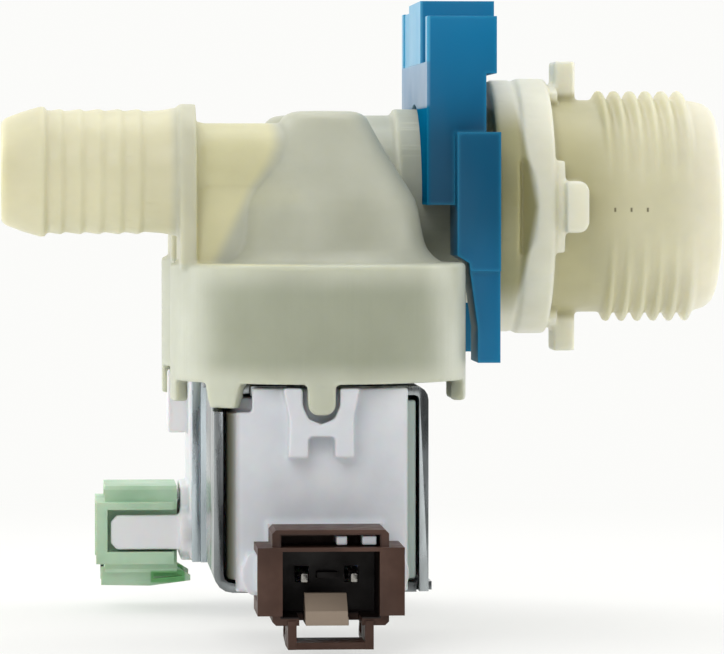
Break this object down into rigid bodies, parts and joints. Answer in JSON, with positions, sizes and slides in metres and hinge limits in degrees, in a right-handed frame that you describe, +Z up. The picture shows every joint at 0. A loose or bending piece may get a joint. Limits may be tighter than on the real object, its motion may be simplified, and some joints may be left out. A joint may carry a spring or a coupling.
{
  "type": "washing machine inlet valve",
  "caption": "Double solenoid water inlet valve: threaded inlet with bayonet lugs and clip, domed pots with hose barbs, and plug-in coils in steel yokes.",
  "frame": {"origin": "on the axis of the inlet thread, at the face of the body that bears on the appliance's rear panel", "axes": "+X out of the inlet along the thread's axis, +Z up from the coils to the inlet, -Y towards the front coil's connector; the hose barbs point along -X"},
  "size_m": [0.0806, 0.0778, 0.0693],
  "materials": {
    "cream_nylon": "satin, slightly translucent",
    "white_moulding": "satin",
    "blue_moulding": "smooth",
    "brown_moulding": "fine grain",
    "green_moulding": "fine grain",
    "black_moulding": "satin",
    "rubber": "matt",
    "zinc_plated_steel": "zinc plated",
    "stainless_steel": "turned",
    "copper_wire": "enamelled",
    "tinned_brass": "bright tin"
  },
  "bodies": {
    "valve": {"valve_body": "cream_nylon", "inlet_strainer": "white_moulding", "flow_regulator_cage": "black_moulding", "flow_regulator_washer": "rubber", "front_diaphragm": "rubber", "front_guide_tube": "black_moulding", "front_plunger_spring": "stainless_steel", "front_coil_bobbin": "black_moulding", "front_coil_winding": "copper_wire", "front_flux_sleeve_upper": "zinc_plated_steel", "front_flux_sleeve_lower": "zinc_plated_steel", "front_coil_overmould": "white_moulding", "front_terminal_a": "tinned_brass", "front_terminal_b": "tinned_brass", "front_yoke_upper": "zinc_plated_steel", "front_yoke_lower": "zinc_plated_steel", "front_connector_shroud": "brown_moulding", "rear_diaphragm": "rubber", "rear_guide_tube": "black_moulding", "rear_plunger_spring": "stainless_steel", "rear_coil_bobbin": "black_moulding", "rear_coil_winding": "copper_wire", "rear_flux_sleeve_upper": "zinc_plated_steel", "rear_flux_sleeve_lower": "zinc_plated_steel", "rear_coil_overmould": "white_moulding", "rear_terminal_a": "tinned_brass", "rear_terminal_b": "tinned_brass", "rear_yoke_upper": "zinc_plated_steel", "rear_yoke_lower": "zinc_plated_steel", "rear_connector_shroud": "green_moulding"},
    "clip": {"mounting_clip": "blue_moulding"},
    "front_core": {"front_plunger": "stainless_steel", "front_plunger_seal": "rubber"},
    "front_insert": {"front_diaphragm_insert": "white_moulding"},
    "rear_core": {"rear_plunger": "stainless_steel", "rear_plunger_seal": "rubber"},
    "rear_insert": {"rear_diaphragm_insert": "white_moulding"}
  },
  "joints": [
    {"name": "clip_slide", "type": "slide", "parent": "valve", "child": "clip", "axis": [0, 0, 1], "range_m": [0, 0.012]},
    {"name": "front_plunger_slide", "type": "slide", "parent": "valve", "child": "front_core", "axis": [0, 0, -1], "range_m": [0, 0.003], "stiffness_N_per_m": 150, "springref_m": -0.005, "deforming": ["front_plunger_spring"]},
    {"name": "front_diaphragm_lift", "type": "slide", "parent": "valve", "child": "front_insert", "axis": [0, 0, -1], "range_m": [0, 0.0024], "deforming": ["front_diaphragm"]},
    {"name": "rear_plunger_slide", "type": "slide", "parent": "valve", "child": "rear_core", "axis": [0, 0, -1], "range_m": [0, 0.003], "stiffness_N_per_m": 150, "springref_m": -0.005, "deforming": ["rear_plunger_spring"]},
    {"name": "rear_diaphragm_lift", "type": "slide", "parent": "valve", "child": "rear_insert", "axis": [0, 0, -1], "range_m": [0, 0.0024], "deforming": ["rear_diaphragm"]}
  ],
  "couplings": [
    {"joint": "front_diaphragm_lift", "follows": "front_plunger_slide", "ratio": 0.8},
    {"joint": "rear_diaphragm_lift", "follows": "rear_plunger_slide", "ratio": 0.8}
  ]
}
